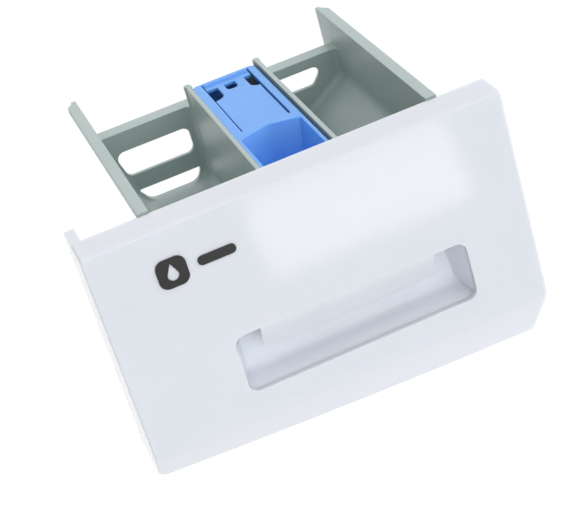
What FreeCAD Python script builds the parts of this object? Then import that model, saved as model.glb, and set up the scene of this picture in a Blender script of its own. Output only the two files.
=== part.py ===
import FreeCAD, Part
import math
import os

# Detergent drawer of a front-loading washing machine, in millimetres.
# The design is drawn from a datum at the top front edge of the fascia: +X to the right along
# the panel, +Y rearwards along the drawer's travel and +Z up, so most heights are negative.
# The last lines move every piece to the middle of the assembly's footprint, at its lowest edge.

V = FreeCAD.Vector
OUT = "parts"

# ---- fascia ----
panel_width = 200.0
panel_height = 140.9
panel_wall = 2.8
crease_drop = 106.0          # the face leans forward down to this crease, then turns under
face_lean = 9.0              # how far the crease stands in front of the top edge
flange_depth = 16.5          # top flange and chin reach this far back
ear_depth = 30.5             # the left end wall reaches further back
ear_wall = 4.7
crease_radius = 12.0
top_edge_radius = 1.3
end_edge_radius = 1.2
chin_rise = 18.5             # the lower edge climbs this much from the right end to the left
chin_bow = 2.5               # and bows down this much between its ends
chin_left_radius = 6.0
chin_right_radius = 3.5
ear_upper_radius = 1.5
ear_lower_radius = 4.0

# ---- handle pocket, measured in the plane of the leaning face ----
pocket_left = -49.0
pocket_right = 66.5
pocket_top = -63.2
pocket_bottom = -92.8
pocket_corner = 5.0
lip_depth = 8.0
lip_height = -77.7
lip_left = -35.6
lip_right = 51.0
lip_corner = 2.0
lip_thickness = 1.8
lip_rounding = 0.8

# ---- finger cup behind the pocket ----
cup_wall = 2.0
cup_depth = 18.5
cup_top = -64.0
cup_floor_knee = 15.0        # where the rising floor turns up into the back wall
cup_floor_rise = 5.0
cup_floor_radius = 8.0
cup_back_radius = 4.0
cup_end_draft = 5.0          # each end wall leans inwards this much by the cup's full depth
cup_end_radius = 5.0
cup_flange = 6.0
cup_flange_thickness = 2.0
cup_post_radius = 2.6
cup_post_inset = 8.0

# ---- tray ----
tray_wall = 2.2
tray_left = -63.3            # inner faces of the side walls at the rim
tray_right = 70.7
fin_overhang = 20.2          # side fins and rims behind the front of the rear wall
rim_rise = 0.9               # the runner rims stand this much above the fascia's top
rim_width = 5.4
rim_thickness = 3.0
rim_tip_chamfer = 6.0
rim_gap = 0.4                # rim to the rear edge of the fascia's top flange
front_wall_front = 8.2
rear_wall_front = 135.8
rear_wall_top = -15.2
rear_flange_depth = 8.7
fin_heights = (13.0, 22.0)       # left and right, at the rear end
fin_root_heights = (18.0, 34.0)  # and where they meet the rear wall
floor_level = -57.1
divider_thickness = 2.2
divider_left = -11.8         # left face of the left divider
divider_right = 25.8         # left face of the right divider
divider_top = -2.2
softener_floor = -52.0
softener_rear_inset = 6.6    # softener bay's rear, in front of the rear wall's front
softener_rear_top = -5.4
post_radius = 1.9
post_rise = 0.1
post_rounding = 0.7
corner_radius = 3.2
left_knee_height = -22.0
left_knee_inset = 1.0
left_floor_inset = 14.8
left_knee_radius = 14.0
left_floor_radius = 8.0
left_divider_radius = 7.0
right_ledge_height = -30.5
right_slope_run = 14.5       # from the channel at the divider out to the knee of the floor
right_slope_height = -43.5
right_channel_width = 8.0
right_ledge_radius = 7.0
right_slope_radius = 20.0
right_channel_radius = 8.0
softener_corner = 4.0

# ---- flushing windows in the rear wall ----
window_top = -25.8
window_bottom = -40.3
window_left = -56.2
window_divider_gap = 3.7
window_lean = 4.2
window_radius = 4.0
outlet_top = -49.3
outlet_left = -48.6
outlet_radius = 6.5
right_window_top = -20.6
right_window_bottom = -30.6
right_window_right = 62.5
right_window_slant = 8.0
outlet_inset = 1.0           # outlet edge to the bay's sloping floor

# ---- front plate of the tray, which carries the fascia ----
plate_gap = 0.5
plate_bottom = -119.0
plate_rim_depth = 4.0
plate_rim_width = 2.0
cup_cutout_gap = 1.2
brace_height = -24.0
brace_thickness = 2.0
brace_length = 28.0
brace_reach = 22.0

# ---- screws that hold the fascia ----
screw_radius = 1.45
screw_length = 8.0
screw_head_radius = 3.4
screw_head_height = 2.2
screw_recess_width = 0.9
screw_recess_length = 3.6
screw_recess_depth = 1.2
boss_radius = 3.6
boss_bore_gap = 0.05
plate_hole_gap = 0.4
screw_side_inset = 11.0
screw_top_height = -18.0
screw_bottom_height = -108.0
screw_bottom_x = (-30.0, 47.0)

# ---- softener cap ----
cap_top = -3.4
cap_plate = 1.8
cap_gap_left = 0.4
cap_gap_right = 1.5
cap_gap_ends = 0.9
cap_skirt = 1.2
cap_skirt_depth = 12.0
cap_rear_skirt_gap = 6.3     # the rear skirt stops short of the right rail
ledge_thickness = 1.6
ledge_length = 9.0
ledge_overlap = 1.4
ledge_front_inset = 12.2
ledge_rear_inset = 24.3
slit_width = 0.9
left_rail = 4.6
right_rail = 3.6
tongue_root_gap = 2.8        # behind the funnel
tongue_drop = 0.7            # tongue surface below the rails
tongue_thickness = 1.6
tongue_rear_gap = 0.8
rear_bar = 1.3
tongue_lip_depth = 6.2
tongue_lip_rise = 1.1
tongue_ridge_depth = 2.4
side_scallops = (5.5, 4.0)       # width of the left and of the right one
middle_scallop_width = 6.0
scallop_depth = 15.0
middle_scallop_depth = 8.0
funnel_front_gap = 2.7       # behind the cap's front edge
funnel_side_length = 34.5
funnel_middle_length = 39.5
funnel_inset = 1.6
funnel_depth = 20.0
funnel_side_draft = 5.2
funnel_rear_draft = 7.0
funnel_wall = 1.3
funnel_rear_radius = 5.0
drain_length = 16.0
drain_width = 12.0
drain_offset = 3.0

# ---- siphon ----
siphon_inset = 36.3          # in front of the cap's rear edge
standpipe_radius = 4.0
standpipe_bore = 2.8
standpipe_top = -23.0
bell_gap = 1.7
bell_wall = 1.3
bell_top = -13.5
bell_floor_gap = 3.0
web_thickness = 1.4
web_depth = 7.0

# ---- badge ----
badge_x = -64.4
badge_height = -21.4
badge_size = 14.0
badge_radius = 4.2
badge_thickness = 0.4
drop_radius = 2.6
drop_point = 6.0
dash_left = -52.6
dash_length = 18.0
dash_width = 4.6

# ---- sizes that follow from the ones above ----
lean_angle = -math.degrees(math.atan2(face_lean, crease_drop))
panel_left = -panel_width / 2
panel_right = panel_width / 2
inner_left = panel_left + ear_wall
inner_right = panel_right - panel_wall
rim_top = rim_rise
front_wall_rear = front_wall_front + tray_wall
rim_front = flange_depth + rim_gap
under_flange = -panel_wall - plate_gap
rear_wall_rear = rear_wall_front + tray_wall
tray_rear = rear_wall_front + fin_overhang
softener_rear = rear_wall_front - softener_rear_inset
softener_left = divider_left + divider_thickness
right_bay_left = divider_right + divider_thickness
right_slope_x = right_bay_left + right_channel_width + right_slope_run
cap_left = softener_left + cap_gap_left
cap_right = divider_right - cap_gap_right
cap_front = rim_front + cap_gap_ends
cap_rear = softener_rear - cap_gap_ends
cap_seat = cap_top - cap_skirt_depth
cap_rear_skirt_end = cap_right - cap_rear_skirt_gap
ledge_places = (cap_front + ledge_front_inset, cap_rear - ledge_rear_inset)
funnel_front = cap_front + funnel_front_gap
funnel_rear_side = funnel_front + funnel_side_length
funnel_rear_middle = funnel_front + funnel_middle_length
tongue_root = funnel_rear_middle + tongue_root_gap
tongue_left = cap_left + left_rail + slit_width
tongue_right = cap_right - right_rail - slit_width
tongue_rear = cap_rear - rear_bar - tongue_rear_gap
tongue_top = cap_top - tongue_drop
siphon_x = (cap_left + cap_right) / 2
siphon_y = cap_rear - siphon_inset
FAR = 60.0                   # reach of a cutting block beyond the solid it cuts


def box(x0, x1, y0, y1, z0, z1):
    return Part.makeBox(x1 - x0, y1 - y0, z1 - z0, V(x0, y0, z0))


def rounded_wire(points, radii, to_space):
    """Closed outline of straight edges, with an arc at each corner that has a radius."""
    count = len(points)
    ends = []
    arcs = []
    for i in range(count):
        here = V(points[i][0], points[i][1], 0)
        back = V(points[i - 1][0], points[i - 1][1], 0) - here
        ahead = V(points[(i + 1) % count][0], points[(i + 1) % count][1], 0) - here
        back.normalize()
        ahead.normalize()
        radius = radii[i]
        if radius <= 0:
            ends.append((here, here))
            arcs.append(None)
            continue
        half = back.getAngle(ahead) / 2
        reach = radius / math.tan(half)
        bisector = back + ahead
        bisector.normalize()
        centre = here + bisector * (radius / math.sin(half))
        ends.append((here + back * reach, here + ahead * reach))
        arcs.append(centre - bisector * radius)
    edges = []
    for i in range(count):
        start, finish = ends[i]
        if arcs[i] is not None:
            edges.append(Part.Arc(to_space(start), to_space(arcs[i]), to_space(finish)).toShape())
        following = ends[(i + 1) % count][0]
        if (following - finish).Length > 1e-6:
            edges.append(Part.makeLine(to_space(finish), to_space(following)))
    return Part.Wire(edges)


def prism(points, radii, along, start, end):
    """Solid with an outline in the plane across one axis, drawn out along that axis."""
    places = {
        "x": (lambda p: V(start, p.x, p.y), V(end - start, 0, 0)),
        "y": (lambda p: V(p.x, start, p.y), V(0, end - start, 0)),
        "z": (lambda p: V(p.x, p.y, start), V(0, 0, end - start)),
    }
    to_space, reach = places[along]
    return Part.Face(rounded_wire(points, radii, to_space)).extrude(reach)


def grown_prism(points, radii, growth, start, end):
    """The same outline along Y, grown outwards by a wall's thickness."""
    face = Part.Face(rounded_wire(points, radii, lambda p: V(p.x, start, p.y)))
    return face.makeOffset2D(growth).extrude(V(0, end - start, 0))


def rectangle(x0, x1, y0, y1):
    return [(x0, y0), (x1, y0), (x1, y1), (x0, y1)]


def cylinder(radius, start, end):
    way = end - start
    return Part.makeCylinder(radius, way.Length, start, way)


def joined(shapes):
    result = shapes[0]
    if len(shapes) > 1:
        result = result.fuse(shapes[1:])
    return result.removeSplitter()


def lean(shape):
    """Tip a shape drawn against an upright face onto the leaning face."""
    tipped = shape.copy()
    tipped.rotate(V(0, 0, 0), V(1, 0, 0), lean_angle)
    return tipped


def rim_edges(shape, test):
    """The edges of a shape whose whole length passes a test on its points."""
    chosen = []
    for edge in shape.Edges:
        first, last = edge.ParameterRange
        places = [edge.valueAt(first + (last - first) * k / 4) for k in range(5)]
        if all(test(place) for place in places):
            chosen.append(edge)
    return chosen


# ---- handle pocket ----

def pocket_lip():
    """The flap that slopes inwards from the pocket's upper edge, with a rounded lip to pull on."""
    drop = pocket_top - lip_height
    length = math.hypot(lip_depth, drop)
    back = lip_depth + lip_thickness * drop / length
    back_height = lip_height + lip_thickness * lip_depth / length
    root_height = back_height + (back - panel_wall) * drop / lip_depth
    side = [(0, pocket_top), (lip_depth, lip_height), (back, back_height), (panel_wall, root_height),
            (panel_wall, pocket_top + 1), (0, pocket_top + 1)]
    flap = prism(side, [0, lip_rounding, lip_rounding, 0, 0, 0], "x", lip_left, lip_right)
    front = prism(rectangle(lip_left, lip_right, lip_height, pocket_top + 1),
                  [lip_corner, lip_corner, 0, 0], "y", -1, back + 1)
    return flap.common(front)


# ---- fascia ----

def fascia_profile(rear):
    """Side view of the fascia: top, leaning face and chin, back to a depth."""
    slope = (panel_height - crease_drop) / (flange_depth + face_lean)
    bottom = -crease_drop - (rear + face_lean) * slope
    return [(0, 0), (rear, 0), (rear, bottom), (-face_lean, -crease_drop)]


def chin_outline():
    """Front view of the fascia: the lower edge climbs to the left and bows down between its ends."""
    tilt = 4 * chin_bow / panel_width
    bow_radius = (panel_right - chin_left_radius - 1) / tilt
    points = [(panel_left, FAR), (panel_left, chin_rise - panel_height),
              (0, chin_rise / 2 - 2 * chin_bow - panel_height), (panel_right, -panel_height),
              (panel_right, FAR)]
    return prism(points, [0, chin_left_radius, bow_radius, chin_right_radius, 0], "y", -FAR, FAR)


def front_panel():
    radii = [top_edge_radius, 0, 0, crease_radius]
    block = prism(fascia_profile(flange_depth), radii, "x", panel_left, panel_right)
    ends = rim_edges(block, lambda p: abs(abs(p.x) - panel_right) < 0.01 and p.y < flange_depth - 0.01)
    ends = [edge for edge in ends if edge.Length > 0.1]
    body = block.makeFillet(end_edge_radius, ends)
    ear = prism(rectangle(flange_depth - 1, ear_depth, chin_rise - panel_height, 0),
                [0, ear_lower_radius, ear_upper_radius, 0], "x", panel_left, inner_left)
    hollow_face = Part.Face(rounded_wire(fascia_profile(FAR), [0] * 4, lambda p: V(inner_left, p.x, p.y)))
    hollow = hollow_face.makeOffset2D(-panel_wall).extrude(V(inner_right - inner_left, 0, 0))
    shell = body.fuse(ear).common(chin_outline()).cut(hollow)
    bosses = joined([fascia_boss(x, z) for x, z in screw_places()]).common(block)
    mouth = prism(rectangle(pocket_left, pocket_right, pocket_bottom, pocket_top), [pocket_corner] * 4,
                  "y", -1, panel_wall)
    shell = shell.fuse(bosses).cut(lean(mouth)).fuse(lean(pocket_lip())).removeSplitter()
    bores = [cylinder(screw_radius + boss_bore_gap, V(x, front_wall_front + 1, z),
                      V(x, front_wall_rear - screw_length - 0.5, z)) for x, z in screw_places()]
    return shell.cut(bores)


def screw_places():
    """Two screws at the upper corners, four along the bottom."""
    left = inner_left + screw_side_inset
    right = inner_right - screw_side_inset
    places = [(left, screw_top_height), (right, screw_top_height)]
    places += [(x, screw_bottom_height) for x in (left,) + screw_bottom_x + (right,)]
    return places


def fascia_boss(x, z):
    """A post from the back of the face to the tray's front plate."""
    return cylinder(boss_radius, V(x, -face_lean, z), V(x, front_wall_front, z))


def panel_screws():
    screws = []
    for x, z in screw_places():
        head = cylinder(screw_head_radius, V(x, front_wall_rear, z),
                        V(x, front_wall_rear + screw_head_height, z))
        rim = rim_edges(head, lambda p: abs(p.y - front_wall_rear - screw_head_height) < 0.01)
        head = head.makeFillet(0.8, [edge for edge in rim if edge.Length > screw_head_radius * 3])
        tip = front_wall_rear - screw_length
        shank = cylinder(screw_radius, V(x, tip + 1, z), V(x, front_wall_rear, z))
        point = Part.makeCone(0.5, screw_radius, 1, V(x, tip, z), V(0, 1, 0))
        screw = joined([head, shank, point])
        outer = front_wall_rear + screw_head_height
        for long_x, long_z in ((screw_recess_length, screw_recess_width),
                               (screw_recess_width, screw_recess_length)):
            screw = screw.cut(box(x - long_x / 2, x + long_x / 2, outer - screw_recess_depth, outer + 1,
                                  z - long_z / 2, z + long_z / 2))
        screws.append(screw)
    return Part.makeCompound(screws)


# ---- finger cup ----

def cup_bowl(growth):
    """The finger space behind the pocket's mouth, grown by the cup's wall."""
    side = [(-FAR, pocket_bottom), (panel_wall, pocket_bottom),
            (cup_floor_knee, pocket_bottom + cup_floor_rise), (cup_depth, cup_top), (-FAR, cup_top)]
    plan = [(pocket_left, -FAR), (pocket_left, panel_wall), (pocket_left + cup_end_draft, cup_depth),
            (pocket_right - cup_end_draft, cup_depth), (pocket_right, panel_wall), (pocket_right, -FAR)]
    side_face = Part.Face(rounded_wire(side, [0, cup_floor_radius, cup_floor_radius, cup_back_radius, 0],
                                       lambda p: V(panel_left, p.x, p.y)))
    plan_face = Part.Face(rounded_wire(plan, [0, 0, cup_end_radius, cup_end_radius, 0, 0],
                                       lambda p: V(p.x, p.y, -panel_height)))
    if growth > 0:
        side_face = side_face.makeOffset2D(growth)
        plan_face = plan_face.makeOffset2D(growth)
    across = side_face.extrude(V(panel_width, 0, 0))
    return across.common(plan_face.extrude(V(0, 0, panel_height)))


def handle_cup():
    flange_top = cup_top + cup_flange
    flange_bottom = pocket_bottom - cup_flange
    flange = prism(rectangle(pocket_left - cup_flange, pocket_right + cup_flange, flange_bottom, flange_top),
                   [cup_flange] * 4, "y", panel_wall, panel_wall + cup_flange_thickness)
    wall_front = prism(rectangle(panel_left, panel_right, -2 * FAR, panel_wall), [0] * 4,
                       "z", -panel_height, 0)
    bowl = cup_bowl(0)
    body = cup_bowl(cup_wall).fuse(flange).cut([bowl, wall_front])
    posts = []
    for x in (pocket_left - cup_flange + cup_post_radius, pocket_right + cup_flange - cup_post_radius):
        for z in (flange_top - cup_post_inset, flange_bottom + cup_post_inset):
            post = cylinder(cup_post_radius, V(x, -face_lean, z), V(x, front_wall_front, z))
            posts.append(post.cut(lean(prism(rectangle(-FAR, panel_wall + 0.5, -panel_height, 0), [0] * 4,
                                             "x", panel_left, panel_right))))
    return joined([lean(body)] + posts).cut(lean(bowl)).removeSplitter()


# ---- tray ----

def bay_outlines():
    """Outlines across the drawer of its three bays, each with its corner radii."""
    high = rim_top + FAR
    left = ([(tray_left, high), (tray_left, 0), (tray_left + left_knee_inset, left_knee_height),
             (tray_left + left_floor_inset, floor_level), (divider_left, floor_level),
             (divider_left, high)],
            [0, 0, left_knee_radius, left_floor_radius, left_divider_radius, 0])
    right_channel = right_bay_left + right_channel_width
    right = ([(right_bay_left, high), (right_bay_left, floor_level), (right_channel, floor_level),
              (right_slope_x, right_slope_height), (tray_right, right_ledge_height),
              (tray_right, high)],
             [0, right_channel_radius / 2, right_channel_radius, right_slope_radius,
              right_ledge_radius, 0])
    middle = ([(softener_left, high), (softener_left, softener_floor),
               (divider_right, softener_floor), (divider_right, high)],
              [0, softener_corner, softener_corner, 0])
    return left, right, middle


def bay_void(outline, rear):
    """The space inside one bay, with a rounded seam where its rear wall starts."""
    points, radii = outline
    void = prism(points, radii, "y", front_wall_rear, rear)
    seam = rim_edges(void, lambda p: abs(p.y - rear) < 0.01 and p.z < rim_top + FAR - 1)
    seam = [edge for edge in seam if edge.BoundBox.ZMin < rim_top + FAR - 1]
    return void.makeFillet(corner_radius, seam)


def side_rim(inner, way, fin_height, fin_root_height):
    """One runner rim and the fin behind the rear wall; way is -1 on the left, +1 on the right."""
    outer = inner + way * rim_width
    tip = inner + way * (rim_width - rim_tip_chamfer * 0.7)
    plan = [(inner, rim_front), (outer, rim_front), (outer, tray_rear - rim_tip_chamfer),
            (tip, tray_rear), (inner, tray_rear)]
    rim = prism(plan, [0, 0, 1, 1, 0], "z", rim_top - rim_thickness, rim_top)
    x0, x1 = sorted((inner, inner + way * tray_wall))
    fin_side = [(rear_wall_front - 2, rim_top), (tray_rear, rim_top),
                (tray_rear, rim_top - fin_height), (rear_wall_rear + 2, rim_top - fin_root_height),
                (rear_wall_front - 2, rim_top - fin_root_height)]
    fin = prism(fin_side, [0, 0, 4, 4, 0], "x", x0, x1)
    return [rim, fin]


def rear_openings():
    """Windows and floor outlets that let the wash water run out at the rear."""
    reach = (rear_wall_front - corner_radius, rear_wall_rear + rear_flange_depth)
    edge = divider_left - window_divider_gap
    upper_left = [(window_left, window_top), (window_left + window_lean, window_bottom),
                  (edge, window_bottom), (edge, window_top)]
    outlet_left_side = [(outlet_left - 1.5, outlet_top), (outlet_left + 4, floor_level),
                        (edge - 2, floor_level), (edge, outlet_top)]
    bay_edge = right_bay_left + window_divider_gap
    upper_right = [(bay_edge, right_window_top), (bay_edge, right_window_bottom),
                   (right_window_right - right_window_slant, right_window_bottom),
                   (right_window_right, right_window_top)]
    channel_end = right_bay_left + right_channel_width - outlet_inset
    slope = (right_slope_height - floor_level) / (right_slope_x - right_bay_left - right_channel_width)
    outlet_right_side = [(bay_edge, outlet_top), (bay_edge, floor_level), (channel_end, floor_level),
                         (channel_end + (outlet_top - floor_level) / slope, outlet_top)]
    return [
        prism(upper_left, [window_radius] * 4, "y", *reach),
        prism(outlet_left_side, [0.8, outlet_radius, outlet_radius, 0.8], "y", *reach),
        prism(upper_right, [3, 3, 4, 3.5], "y", *reach),
        prism(outlet_right_side, [0.8, 1.5, right_channel_radius / 2, 0.8], "y", *reach),
    ]


def front_plate():
    """The wide front of the tray behind the fascia, with a stiffening rim and the cup's hole."""
    x0 = inner_left + plate_gap
    x1 = inner_right - plate_gap
    plate = prism(rectangle(x0, x1, plate_bottom, under_flange), [4, 4, 2, 2],
                  "y", front_wall_front, front_wall_rear)
    border = prism(rectangle(x0, x1, plate_bottom, under_flange), [4, 4, 2, 2],
                   "y", front_wall_rear, front_wall_rear + plate_rim_depth)
    inner = prism(rectangle(x0 + plate_rim_width, x1 - plate_rim_width, plate_bottom + plate_rim_width,
                            under_flange - plate_rim_width), [2, 2, 1, 1],
                  "y", front_wall_rear - 1, front_wall_rear + plate_rim_depth + 1)
    hole = prism(rectangle(pocket_left - cup_wall - cup_cutout_gap, pocket_right + cup_wall + cup_cutout_gap,
                           pocket_bottom - cup_wall - cup_cutout_gap * 2, cup_top + cup_wall + cup_cutout_gap),
                 [3] * 4, "y", front_wall_front - 1, front_wall_rear + 1)
    plate = joined([plate, border.cut(inner)]).cut(hole)
    for x, z in screw_places():
        plate = plate.cut(cylinder(screw_radius + plate_hole_gap, V(x, front_wall_front - 1, z),
                                   V(x, front_wall_rear + 1, z)))
    return plate


def side_brace(inner, way):
    """A flat corner brace between a side wall and the wing of the front plate."""
    wall = inner + way * tray_wall / 2
    plan = [(wall, front_wall_front + 1), (wall + way * brace_reach, front_wall_front + 1),
            (wall + way * brace_reach, front_wall_rear + 2), (wall, front_wall_rear + brace_length)]
    return prism(plan, [0] * 4, "z", brace_height, brace_height + brace_thickness)


def tray():
    left, right, middle = bay_outlines()
    walls = [
        grown_prism(left[0], left[1], tray_wall, front_wall_front, rear_wall_rear),
        grown_prism(right[0], right[1], tray_wall, front_wall_front, rear_wall_rear),
        grown_prism(middle[0], middle[1], tray_wall, front_wall_front, softener_rear + tray_wall),
        box(divider_left, right_bay_left, rear_wall_front, rear_wall_rear,
            softener_floor - tray_wall, rear_wall_top),
    ]
    for x in (divider_left, divider_right):
        walls.append(box(x, x + divider_thickness, softener_rear, rear_wall_rear,
                         softener_floor - tray_wall, rear_wall_top))
    body = joined(walls)
    voids = [bay_void(left, rear_wall_front), bay_void(right, rear_wall_front),
             bay_void(middle, softener_rear)]
    trims = [
        box(panel_left, panel_right, -FAR, tray_rear + FAR, rim_top, rim_top + 3 * FAR),
        box(divider_left - 0.5, right_bay_left + 0.5, -FAR, tray_rear, divider_top, FAR),
        box(panel_left, panel_right, -FAR, rim_front, under_flange, FAR),
        box(tray_left, tray_right, softener_rear + tray_wall, tray_rear + FAR, rear_wall_top, FAR),
        box(softener_left, divider_right, softener_rear - 1, tray_rear, softener_rear_top, FAR),
    ]
    body = body.cut(voids + trims)
    extras = [front_plate(),
              box(tray_left, tray_right, rear_wall_front, rear_wall_front + rear_flange_depth,
                  rear_wall_top - tray_wall, rear_wall_top)]
    for side, (inner, way) in enumerate(((tray_left, -1), (tray_right, 1))):
        extras += side_rim(inner, way, fin_heights[side], fin_root_heights[side])
        extras.append(side_brace(inner, way))
    for x in (divider_left, divider_right):
        centre = V(x + divider_thickness / 2, softener_rear + tray_wall / 2, softener_floor)
        post = cylinder(post_radius, centre, V(centre.x, centre.y, divider_top + post_rise))
        crown = rim_edges(post, lambda p: abs(p.z - divider_top - post_rise) < 0.01)
        post = post.makeFillet(post_rounding, [edge for edge in crown if edge.Length > post_radius * 3])
        extras.append(post.cut(box(softener_left, divider_right, front_wall_rear, softener_rear,
                                   softener_floor, FAR)))
    for y in ledge_places:
        low = cap_seat - ledge_thickness
        extras.append(box(softener_left - 0.5, cap_left + ledge_overlap, y, y + ledge_length, low, cap_seat))
        extras.append(box(cap_right - ledge_overlap, divider_right + 0.5, y, y + ledge_length, low, cap_seat))
    pipe_foot = softener_floor - tray_wall / 2
    extras.append(cylinder(standpipe_radius, V(siphon_x, siphon_y, pipe_foot),
                           V(siphon_x, siphon_y, standpipe_top)))
    bore = cylinder(standpipe_bore, V(siphon_x, siphon_y, softener_floor - FAR),
                    V(siphon_x, siphon_y, standpipe_top + 1))
    return joined([body] + extras).cut(rear_openings() + [bore]).removeSplitter()


# ---- softener cap and its release tongue ----

def funnel_outline(depth, growth):
    """Plan of the pouring funnel at a depth below the cap's top, grown by its wall."""
    share = depth / funnel_depth
    side = funnel_inset + funnel_side_draft * share - growth
    forward = funnel_rear_draft * share - growth
    middle = (cap_left + cap_right) / 2
    return [
        (cap_left + side, funnel_front - growth),
        (cap_right - side, funnel_front - growth),
        (cap_right - side, funnel_rear_side - forward),
        (middle, funnel_rear_middle - forward),
        (cap_left + side, funnel_rear_side - forward),
    ]


def funnel_solid(growth, start, end):
    radii = [1.5 + growth, 1.5 + growth, 1 + growth, funnel_rear_radius + growth, 1 + growth]
    rings = []
    for depth in (start, end):
        level = cap_top - depth
        rings.append(rounded_wire(funnel_outline(depth, growth), radii, lambda p: V(p.x, p.y, level)))
    return Part.makeLoft(rings, True, True)


def softener_cap():
    deck = box(cap_left, cap_right, cap_front, cap_rear, cap_top - cap_plate, cap_top)
    skirts = [
        box(cap_left, cap_left + cap_skirt, cap_front, cap_rear, cap_seat, cap_top),
        box(cap_right - cap_skirt, cap_right, cap_front, cap_rear, cap_seat, cap_top),
        box(cap_left, cap_rear_skirt_end, cap_rear - cap_skirt, cap_rear, cap_seat, cap_top),
        box(cap_left, cap_right, cap_front, cap_front + cap_skirt, cap_seat, cap_top),
    ]
    outer_bell = standpipe_radius + bell_gap + bell_wall
    bell_low = softener_floor + bell_floor_gap
    bell = cylinder(outer_bell, V(siphon_x, siphon_y, bell_low), V(siphon_x, siphon_y, bell_top))
    web = box(cap_left, cap_right, siphon_y - web_thickness / 2, siphon_y + web_thickness / 2,
              bell_top - web_depth, bell_top)
    web_ends = [box(x, x + cap_skirt, siphon_y - 6, siphon_y + 6, bell_top - web_depth, cap_top)
                for x in (cap_left, cap_right - cap_skirt)]
    pocket = funnel_solid(funnel_wall, 0.5, funnel_depth + funnel_wall)
    outline = prism(rectangle(cap_left, cap_right, cap_front, cap_rear),
                    [0.6, 0.6, corner_radius, corner_radius], "z", softener_floor, cap_top)
    cap = joined([deck, bell, web, pocket] + skirts + web_ends).common(outline)
    tongue_hole = box(tongue_left - slit_width, tongue_right + slit_width, tongue_root,
                      cap_rear - rear_bar, cap_top - cap_plate, cap_top + 1)
    cuts = [tongue_hole, funnel_solid(0, 0, funnel_depth)]
    cuts.append(cylinder(standpipe_radius + bell_gap, V(siphon_x, siphon_y, bell_low - 1),
                         V(siphon_x, siphon_y, bell_top - bell_wall)))
    middle = (cap_left + cap_right) / 2
    drain_front = funnel_front + drain_offset
    cuts.append(prism(rectangle(middle - drain_width / 2, middle + drain_width / 2,
                                drain_front, drain_front + drain_length), [2] * 4,
                      "z", cap_top - funnel_depth - FAR, cap_top - funnel_depth + 1))
    return cap.cut(cuts).removeSplitter()


def release_tongue():
    low = tongue_top - tongue_thickness
    plate = box(tongue_left, tongue_right, tongue_root, tongue_rear, low, tongue_top)
    ridge_side = [(tongue_rear - tongue_ridge_depth, tongue_top - 0.5), (tongue_rear, tongue_top - 0.5),
                  (tongue_rear, tongue_top + tongue_lip_rise),
                  (tongue_rear - tongue_ridge_depth * 0.5, tongue_top + tongue_lip_rise)]
    ridge = prism(ridge_side, [0, 0, 0.5, 0.5], "x", tongue_left, tongue_right)
    stiffener = box(tongue_left + 2, tongue_right - 2, tongue_rear - 3, tongue_rear - 1.6, low - 1.6, low)
    lip_front = tongue_rear - tongue_lip_depth
    middle = (tongue_left + tongue_right) / 2
    cuts = []
    for x0, x1, depth in (
        (tongue_left - 5, tongue_left + side_scallops[0], scallop_depth),
        (middle - middle_scallop_width / 2, middle + middle_scallop_width / 2, middle_scallop_depth),
        (tongue_right - side_scallops[1], tongue_right + 5, scallop_depth),
    ):
        round_off = min((x1 - x0) / 2 - 0.2, depth - 0.5)
        cuts.append(prism(rectangle(x0, x1, lip_front - depth, lip_front),
                          [round_off, round_off, 0.8, 0.8], "z", low - 5, tongue_top + 5))
    return joined([plate, ridge, stiffener]).cut(cuts).removeSplitter()


# ---- badge ----

def drop_outline():
    """A water drop: a round belly drawn up to a point."""
    belly = V(badge_x, 0, badge_height - drop_radius / 2)
    tip = V(badge_x, 0, badge_height + drop_point * 0.75)
    reach = (tip - belly).Length
    angle = math.acos(drop_radius / reach)
    touch = [belly + V(side * drop_radius * math.sin(angle), 0, drop_radius * math.cos(angle))
             for side in (-1, 1)]
    foot = belly + V(0, 0, -drop_radius)
    return Part.Wire([
        Part.makeLine(tip, touch[0]),
        Part.Arc(touch[0], foot, touch[1]).toShape(),
        Part.makeLine(touch[1], tip),
    ])


def emblem():
    half = badge_size / 2
    square = prism(rectangle(badge_x - half, badge_x + half, badge_height - half, badge_height + half),
                   [badge_radius] * 4, "y", -badge_thickness, 0)
    drop = Part.Face(drop_outline())
    drop.translate(V(0, -badge_thickness - 1, 0))
    square = square.cut(drop.extrude(V(0, badge_thickness + 2, 0)))
    dash = prism(rectangle(dash_left, dash_left + dash_length, badge_height - dash_width / 2,
                           badge_height + dash_width / 2), [dash_width / 2 - 0.05] * 4,
                 "y", -badge_thickness, 0)
    return lean(Part.makeCompound([square, dash]))


# ---- whole drawer ----

pieces = {
    "front_panel": front_panel(),
    "handle_cup": handle_cup(),
    "tray": tray(),
    "softener_cap": softener_cap(),
    "release_tongue": release_tongue(),
    "panel_screws": panel_screws(),
    "emblem": emblem(),
}

panel_bounds = pieces["front_panel"].optimalBoundingBox(False, False)
tray_bounds = pieces["tray"].optimalBoundingBox(False, False)
middle_depth = (panel_bounds.YMin + tray_bounds.YMax) / 2
lowest = panel_bounds.ZMin

os.makedirs(OUT, exist_ok=True)
for name, shape in pieces.items():
    placed = shape.copy()
    placed.translate(V(0, -middle_depth, -lowest))
    placed.exportStep(os.path.join(OUT, name + ".step"))
    kinds = [solid.Volume for solid in placed.Solids]
    print(name, len(kinds), "solid(s)", round(sum(kinds)), "mm3", "valid", placed.isValid())
print("middle of the depth", round(middle_depth, 4), "lowest", round(lowest, 4))
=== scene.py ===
import bpy
import math
from mathutils import Matrix, Vector


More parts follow.
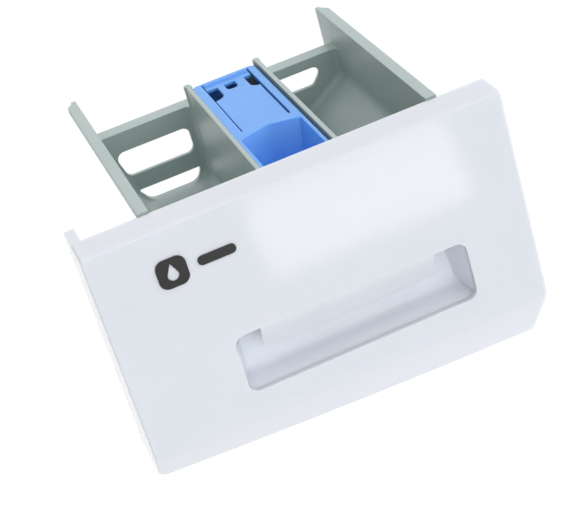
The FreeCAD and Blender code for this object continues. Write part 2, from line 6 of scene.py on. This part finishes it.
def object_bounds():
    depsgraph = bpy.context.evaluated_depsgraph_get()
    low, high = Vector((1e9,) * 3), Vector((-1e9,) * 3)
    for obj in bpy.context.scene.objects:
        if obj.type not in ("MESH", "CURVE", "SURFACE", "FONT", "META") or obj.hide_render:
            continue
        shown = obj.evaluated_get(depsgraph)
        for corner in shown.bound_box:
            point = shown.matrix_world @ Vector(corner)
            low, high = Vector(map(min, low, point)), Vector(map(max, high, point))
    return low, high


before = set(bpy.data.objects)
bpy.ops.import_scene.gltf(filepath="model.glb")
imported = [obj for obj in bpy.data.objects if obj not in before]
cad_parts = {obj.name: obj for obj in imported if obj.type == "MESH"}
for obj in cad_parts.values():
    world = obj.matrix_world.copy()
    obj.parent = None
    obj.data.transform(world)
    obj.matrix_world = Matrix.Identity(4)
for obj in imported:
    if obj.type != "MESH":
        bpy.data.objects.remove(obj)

CAD_LOW, CAD_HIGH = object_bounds()

# Detergent drawer of a front-loading washer, seen from in front, a little to its left and above.

# ---- camera: a product shot with the camera itself rolled clockwise ----
CAMERA_PLACE = Vector((-0.13752, -0.66125, 0.46260))
CAMERA_AZIMUTH = math.radians(-11.927)
CAMERA_ELEVATION = math.radians(30.830)
CAMERA_ROLL = math.radians(-16.440)
CAMERA_LENS = 99.30
SENSOR_WIDTH = 36.0

# ---- studio ----
FLOOR_DROP = 0.42            # the drawer hangs in its runners, so the floor lies well below it
FLOOR_SIZE = 6.0
FLOOR_PALE = (0.965, 0.965, 0.965, 1)
FLOOR_PALER = (0.975, 0.975, 0.975, 1)
SKY_COLOUR = (0.985, 0.99, 1.0, 1.0)
SKY_STRENGTH = 1.45
SKY_LEFT = 0.34              # shares of the sky's strength far left, in front and overhead
SKY_FRONT = 1.15
SKY_ABOVE = 0.75
SKY_FALLS = (                # axis, where the change starts and ends, and the share at either end
    ("X", -0.8, 0.1, SKY_LEFT, 1.0),
    ("Y", -1.0, 0.0, SKY_FRONT, 1.0),
    ("Z", 0.3, 1.0, 1.0, SKY_ABOVE),
)
OVERHEAD_OFFSET = Vector((-0.25, 0.35, 0.95))
OVERHEAD_SIZE = 0.9
OVERHEAD_WATTS = 0.6
SOFTBOX_CENTRE = Vector((0.2086, -0.8037, -0.1581))
SOFTBOX_FACING = Vector((-0.2309, 0.9098, 0.3449))
SOFTBOX_RIGHT = Vector((0.9730, 0.2142, 0.0865))
SOFTBOX_WIDTH = 0.206
SOFTBOX_HEIGHT = 0.078
SOFTBOX_WATTS = 0.14


# ---------------------------------------------------------------- materials

NOISE_LOW = 0.25             # the middle half of a noise lies between these two
NOISE_HIGH = 0.75
NOISE_ROUGHNESS = 0.55
CLOUD_SCALE = 22.0           # noise scales, the coarsest first
STREAK_SCALE = 60.0
STREAK_STRETCH = (1.0, 0.16, 0.5)
GLOSS_SCALE = 90.0
RIPPLE_SCALE = 260.0
SKIN_SCALE = 2600.0
GLOSS_LEAST = 0.88           # shares of a plastic's roughness that its spread runs between
GLOSS_MOST = 1.14
RIPPLE_STRENGTH = 0.05
RIPPLE_DEPTH = 0.0004
SKIN_DEPTH = 0.00012
LIGHT_REACH = 0.004          # how far light spreads inside the white and the blue plastic
EVEN_REACH = (1.0, 1.0, 1.0)
PLASTIC_IOR = 1.5


class Nodes:
    """A material being wired up, with short calls for the nodes used here."""

    def __init__(self, name):
        self.material = bpy.data.materials.new(name)
        self.material.use_nodes = True
        self.tree = self.material.node_tree
        self.shader = self.tree.nodes["Principled BSDF"]
        self.position = self.new("ShaderNodeNewGeometry").outputs["Position"]

    def new(self, kind, **inputs):
        node = self.tree.nodes.new(kind)
        for key, value in inputs.items():
            node.inputs[key].default_value = value
        return node

    def link(self, start, end):
        self.tree.links.new(start, end)

    def set(self, **values):
        """Plain numbers and colours on the shader's own sockets, by their names."""
        for key, value in values.items():
            self.shader.inputs[key.replace("_", " ")].default_value = value

    def noise(self, scale, detail=3.0, stretch=None):
        node = self.new("ShaderNodeTexNoise", Scale=scale, Detail=detail, Roughness=NOISE_ROUGHNESS)
        place = self.position
        if stretch is not None:
            mapping = self.new("ShaderNodeMapping", Scale=stretch)
            self.link(place, mapping.inputs["Vector"])
            place = mapping.outputs["Vector"]
        self.link(place, node.inputs["Vector"])
        return node.outputs["Fac"]

    def ramp(self, factor, stops):
        node = self.new("ShaderNodeValToRGB")
        elements = node.color_ramp.elements
        while len(elements) < len(stops):
            elements.new(0.5)
        for element, (place, colour) in zip(elements, stops):
            element.position = place
            element.color = colour
        self.link(factor, node.inputs["Fac"])
        return node.outputs["Color"]

    def spread(self, factor, low, high):
        """Maps the middle half of a noise to a range."""
        node = self.new("ShaderNodeMapRange")
        node.inputs["From Min"].default_value = NOISE_LOW
        node.inputs["From Max"].default_value = NOISE_HIGH
        node.inputs["To Min"].default_value = low
        node.inputs["To Max"].default_value = high
        self.link(factor, node.inputs["Value"])
        return node.outputs["Result"]

    def mix(self, factor, a, b):
        """Mixes two colours, each of them a plain colour or another node's output."""
        node = self.new("ShaderNodeMix")
        node.data_type = "RGBA"
        node.blend_type = "MIX"
        self.link(factor, node.inputs[0])
        for colour, socket in ((a, node.inputs[6]), (b, node.inputs[7])):
            if isinstance(colour, tuple):
                socket.default_value = colour
            else:
                self.link(colour, socket)
        return node.outputs[2]

    def round_edges(self, radius):
        return self.new("ShaderNodeBevel", Radius=radius).outputs["Normal"]

    def bump(self, height, strength, distance, normal):
        node = self.new("ShaderNodeBump", Strength=strength, Distance=distance)
        self.link(height, node.inputs["Height"])
        self.link(normal, node.inputs["Normal"])
        return node.outputs["Normal"]


def linear(red, green, blue):
    """A display colour, 0 to 255, as the linear colour that shaders take."""
    def one(value):
        share = value / 255
        return share / 12.92 if share <= 0.04045 else ((share + 0.055) / 1.055) ** 2.4
    return (one(red), one(green), one(blue), 1.0)


FASCIA_WHITE = linear(213, 216, 222)
# the cup is the same white plastic as the fascia, set lighter here as painted light against the shade
# inside the pocket
CUP_WHITE_WITH_PAINTED_LIGHT = linear(221, 226, 234)
TRAY_GREY = linear(168, 183, 180)
CAP_BLUE = linear(98, 163, 245)
BADGE_DARK = linear(22, 18, 18)
ZINC = linear(176, 176, 180)
ZINC_DULL = (0.38, 0.38, 0.37, 1)

# tint is how much darker the clouds are, flow how strong the streaks are, glow the light inside
GLOSS_WHITE = {"roughness": 0.07, "grain": 0.02, "tint": 0.015, "flow": 0.1, "glow": 0.5}
SATIN_GREY = {"roughness": 0.40, "grain": 0.16, "tint": 0.07, "flow": 0.3, "glow": 0.0}
SATIN_BLUE = {"roughness": 0.33, "grain": 0.10, "tint": 0.06, "flow": 0.3, "glow": 0.6}
SATIN_DARK = {"roughness": 0.30, "grain": 0.10, "tint": 0.12, "flow": 0.3, "glow": 0.0}


def moulded_plastic(name, colour, edge_radius, roughness, grain, tint, flow, glow):
    """Injection-moulded plastic: faint flow clouding, a spread of gloss and a fine skin texture."""
    made = Nodes(name)
    clouds = made.noise(CLOUD_SCALE, 4.0)
    streaks = made.noise(STREAK_SCALE, stretch=STREAK_STRETCH)
    darker = tuple(channel * (1 - tint) for channel in colour[:3]) + (1.0,)
    base = made.mix(made.spread(clouds, 0.0, 1.0), darker, colour)
    base = made.mix(made.spread(streaks, 0.0, flow), base, darker)
    made.link(base, made.shader.inputs["Base Color"])
    gloss = made.noise(GLOSS_SCALE, 5.0)
    made.link(made.spread(gloss, roughness * GLOSS_LEAST, roughness * GLOSS_MOST),
              made.shader.inputs["Roughness"])
    normal = made.round_edges(edge_radius)
    normal = made.bump(made.noise(RIPPLE_SCALE, 2.0), RIPPLE_STRENGTH, RIPPLE_DEPTH, normal)
    normal = made.bump(made.noise(SKIN_SCALE, 2.0), grain, SKIN_DEPTH, normal)
    made.link(normal, made.shader.inputs["Normal"])
    made.set(IOR=PLASTIC_IOR, Subsurface_Weight=glow, Subsurface_Scale=LIGHT_REACH,
             Subsurface_Radius=EVEN_REACH)
    return made.material


def zinc():
    """Bright zinc plating, a little uneven in tone and gloss."""
    made = Nodes("zinc_plating")
    tone = made.noise(600.0, 4.0)
    made.link(made.ramp(tone, [(0.3, ZINC_DULL), (0.7, ZINC)]), made.shader.inputs["Base Color"])
    made.link(made.spread(made.noise(900.0), 0.24, 0.42), made.shader.inputs["Roughness"])
    made.link(made.bump(made.noise(3000.0), 0.2, 0.00005, made.round_edges(0.0003)),
              made.shader.inputs["Normal"])
    made.set(Metallic=1.0)
    return made.material


def dress_frame():
    """Gives every CAD node its finished material."""
    finishes = {
        "front_panel": moulded_plastic("fascia_abs", FASCIA_WHITE, 0.0003, **GLOSS_WHITE),
        # the cup's lighter white is painted light that offsets the shade in the pocket
        "handle_cup": moulded_plastic("cup_abs_painted_light", CUP_WHITE_WITH_PAINTED_LIGHT, 0.0002, **GLOSS_WHITE),
        "tray": moulded_plastic("tray_polypropylene", TRAY_GREY, 0.0007, **SATIN_GREY),
        "softener_cap": moulded_plastic("cap_polypropylene", CAP_BLUE, 0.0004, **SATIN_BLUE),
        "release_tongue": moulded_plastic("tongue_polypropylene", CAP_BLUE, 0.0003, **SATIN_BLUE),
        "panel_screws": zinc(),
        "emblem": moulded_plastic("badge_inlay", BADGE_DARK, 0.0002, **SATIN_DARK),
    }
    for node, material in finishes.items():
        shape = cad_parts[node]
        if not shape.material_slots:
            shape.data.materials.append(material)
        for slot in shape.material_slots:
            slot.material = material


# ---------------------------------------------------------------- studio

def set_camera():
    look = Vector((-math.sin(CAMERA_AZIMUTH) * math.cos(CAMERA_ELEVATION),
                   math.cos(CAMERA_AZIMUTH) * math.cos(CAMERA_ELEVATION),
                   -math.sin(CAMERA_ELEVATION)))
    level = look.cross(Vector((0, 0, 1))).normalized()
    upright = level.cross(look)
    right = level * math.cos(CAMERA_ROLL) + upright * math.sin(CAMERA_ROLL)
    up = right.cross(look)
    data = bpy.data.cameras.new("camera")
    data.sensor_width = SENSOR_WIDTH
    data.lens = CAMERA_LENS
    camera = bpy.data.objects.new("camera", data)
    bpy.context.collection.objects.link(camera)
    turn = Matrix((right, up, -look)).transposed().to_4x4()
    camera.matrix_world = Matrix.Translation(CAMERA_PLACE) @ turn
    bpy.context.scene.camera = camera


def area_light(name, place, aim, width, height, watts, right=None):
    """A rectangular light facing its aim, its width level or along a given direction."""
    data = bpy.data.lights.new(name, "AREA")
    data.shape = "RECTANGLE"
    data.size = width
    data.size_y = height
    data.energy = watts
    light = bpy.data.objects.new(name, data)
    bpy.context.collection.objects.link(light)
    facing = (aim - place).normalized()
    if right is None:
        right = facing.cross(Vector((0, 0, 1))).normalized()
    else:
        right = (right - facing * right.dot(facing)).normalized()
    up = right.cross(facing)
    turn = Matrix((right, up, -facing)).transposed().to_4x4()
    light.matrix_world = Matrix.Translation(place) @ turn


def floor_material():
    made = Nodes("studio_floor")
    tone = made.noise(3.0, 2.0)
    made.link(made.ramp(tone, [(0.3, FLOOR_PALE), (0.7, FLOOR_PALER)]), made.shader.inputs["Base Color"])
    made.set(Roughness=0.9)
    return made.material


def studio_sky():
    """A white surround, dimmer towards the left and overhead and a little brighter in front."""
    world = bpy.data.worlds.new("studio")
    world.use_nodes = True
    tree = world.node_tree
    place = tree.nodes.new("ShaderNodeTexCoord")
    split = tree.nodes.new("ShaderNodeSeparateXYZ")
    tree.links.new(place.outputs["Generated"], split.inputs["Vector"])
    strength = None
    for axis, start, end, low, high in SKY_FALLS:
        fall = tree.nodes.new("ShaderNodeMapRange")
        for name, value in (("From Min", start), ("From Max", end), ("To Min", low), ("To Max", high)):
            fall.inputs[name].default_value = value
        tree.links.new(split.outputs[axis], fall.inputs["Value"])
        product = tree.nodes.new("ShaderNodeMath")
        product.operation = "MULTIPLY"
        if strength is None:
            product.inputs[0].default_value = SKY_STRENGTH
        else:
            tree.links.new(strength, product.inputs[0])
        tree.links.new(fall.outputs["Result"], product.inputs[1])
        strength = product.outputs["Value"]
    sky = tree.nodes["Background"]
    sky.inputs["Color"].default_value = SKY_COLOUR
    tree.links.new(strength, sky.inputs["Strength"])
    return world


def set_studio():
    half = FLOOR_SIZE / 2
    level = CAD_LOW.z - FLOOR_DROP
    mesh = bpy.data.meshes.new("floor")
    corners = [(-half, -half, level), (half, -half, level), (half, half, level), (-half, half, level)]
    mesh.from_pydata(corners, [], [(0, 1, 2, 3)])
    floor = bpy.data.objects.new("floor", mesh)
    bpy.context.collection.objects.link(floor)
    mesh.materials.append(floor_material())

    bpy.context.scene.world = studio_sky()

    middle = (CAD_LOW + CAD_HIGH) / 2
    area_light("overhead", middle + OVERHEAD_OFFSET, middle, OVERHEAD_SIZE, OVERHEAD_SIZE, OVERHEAD_WATTS)
    area_light("softbox", SOFTBOX_CENTRE, SOFTBOX_CENTRE + SOFTBOX_FACING,
               SOFTBOX_WIDTH, SOFTBOX_HEIGHT, SOFTBOX_WATTS, right=SOFTBOX_RIGHT)
    scene = bpy.context.scene
    scene.view_settings.view_transform = "Standard"
    scene.view_settings.look = "None"


dress_frame()
set_camera()
set_studio()
